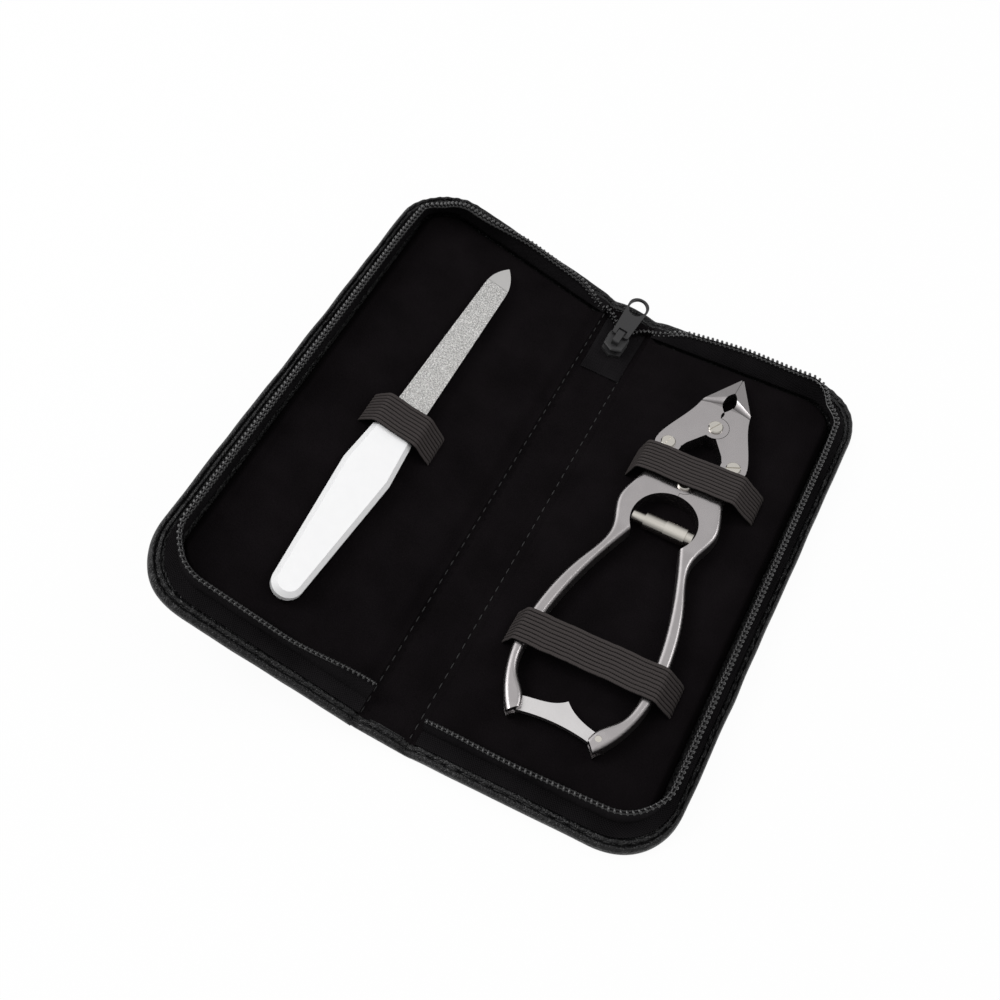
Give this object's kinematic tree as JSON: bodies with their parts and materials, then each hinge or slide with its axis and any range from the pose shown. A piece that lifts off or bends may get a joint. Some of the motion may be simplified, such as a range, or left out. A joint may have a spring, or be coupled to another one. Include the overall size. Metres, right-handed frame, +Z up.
{
  "type": "manicure set case",
  "caption": "Zip-round manicure case lying open like a book, holding a lap-jointed nail nipper and a nail file under elastic loops.",
  "frame": {"origin": "middle of the right leaf's flat underside, which rests on the table", "axes": "+Z up; +X across the case from the spine to the right leaf's zip side; +Y along the spine to the end where the zip begins"},
  "size_m": [0.1648, 0.1815, 0.0409],
  "materials": {
    "leather": "black synthetic leather, soft sheen",
    "board": "grey board",
    "suede": "black suede-like lining",
    "tape": "black woven zip tape",
    "coil": "black nylon coil",
    "elastic": "black ribbed elastic",
    "black_metal": "black painted metal",
    "satin_steel": "satin stainless steel",
    "file_grit": "fine grit on steel",
    "bright_steel": "polished steel",
    "white_plastic": "white gloss plastic"
  },
  "bodies": {
    "right_leaf": {"right_outer_cover": "leather", "right_board": "board", "right_lining_pad": "suede", "right_zip_tape": "tape", "right_zip_coil": "coil", "right_upper_loop": "elastic", "right_lower_loop": "elastic"},
    "spine": {"spine_cover": "leather", "spine_lining": "suede", "zip_end_tab": "tape", "right_zip_lead": "tape", "left_zip_lead": "tape", "zip_slider": "black_metal"},
    "puller": {"zip_puller": "black_metal"},
    "left_leaf": {"left_outer_cover": "leather", "left_board": "board", "left_lining_pad": "suede", "left_zip_tape": "tape", "left_zip_coil": "coil", "left_loop": "elastic"},
    "nail_file": {"file_blade": "file_grit", "file_handle": "white_plastic"},
    "nipper_pivot": {"handle_pivot_screw": "bright_steel", "barrel_spring": "bright_steel"},
    "left_handle": {"nipper_left_handle": "satin_steel", "left_link_screw": "bright_steel"},
    "right_handle": {"nipper_right_handle": "satin_steel", "right_link_screw": "bright_steel", "lock_pin": "bright_steel"},
    "left_jaw": {"nipper_left_jaw": "satin_steel", "jaw_pivot_screw": "bright_steel"},
    "right_jaw": {"nipper_right_jaw": "satin_steel"},
    "lock": {"lock_bar": "satin_steel"}
  },
  "joints": [
    {"name": "crease_right", "type": "hinge", "parent": "right_leaf", "child": "spine", "pos_m": [-0.0385, 0, 0.001], "axis": [0, 1, 0], "range_deg": [-10.5, 76.34], "deforming": ["right_zip_lead"]},
    {"name": "crease_left", "type": "hinge", "parent": "spine", "child": "left_leaf", "pos_m": [-0.05433, 0, 0.00393], "axis": [0, 1, 0], "range_deg": [-10.5, 76.34], "deforming": ["left_zip_lead"]},
    {"name": "puller_swing", "type": "hinge", "parent": "spine", "child": "puller", "pos_m": [-0.04527, 0.07335, 0.0082], "axis": [0.9823, -0.0436, -0.1821], "range_deg": [0, 135]},
    {"name": "file_slide", "type": "slide", "parent": "left_leaf", "child": "nail_file", "axis": [-0.013, -0.9999, 0.005], "range_m": [-0.01, 0.009]},
    {"name": "nipper_slide", "type": "slide", "parent": "right_leaf", "child": "nipper_pivot", "axis": [0.0227, 0.9997, 0], "range_m": [-0.011, 0.002]},
    {"name": "left_handle_open", "type": "hinge", "parent": "nipper_pivot", "child": "left_handle", "pos_m": [-0.0019, 0.0252, 0.0075], "axis": [0, 0, -1], "range_deg": [0, 10], "deforming": ["right_lower_loop"]},
    {"name": "right_handle_open", "type": "hinge", "parent": "nipper_pivot", "child": "right_handle", "pos_m": [-0.0019, 0.0252, 0.0075], "axis": [0, 0, 1], "range_deg": [0, 10]},
    {"name": "left_jaw_link", "type": "hinge", "parent": "left_handle", "child": "left_jaw", "pos_m": [-0.01282, 0.03785, 0.0075], "axis": [0, 0, 1], "range_deg": [0, 20.02]},
    {"name": "right_jaw_link", "type": "hinge", "parent": "right_handle", "child": "right_jaw", "pos_m": [0.00958, 0.03734, 0.0075], "axis": [0, 0, -1], "range_deg": [0, 20.02]},
    {"name": "lock_swing", "type": "hinge", "parent": "right_handle", "child": "lock", "pos_m": [0.00927, -0.06448, 0.0075], "axis": [0, 0, 1], "range_deg": [0, 32]}
  ],
  "couplings": [
    {"joint": "crease_left", "follows": "crease_right", "ratio": 1},
    {"joint": "right_handle_open", "follows": "left_handle_open", "ratio": 1},
    {"joint": "left_jaw_link", "follows": "left_handle_open", "ratio": 2},
    {"joint": "right_jaw_link", "follows": "left_handle_open", "ratio": 2}
  ]
}
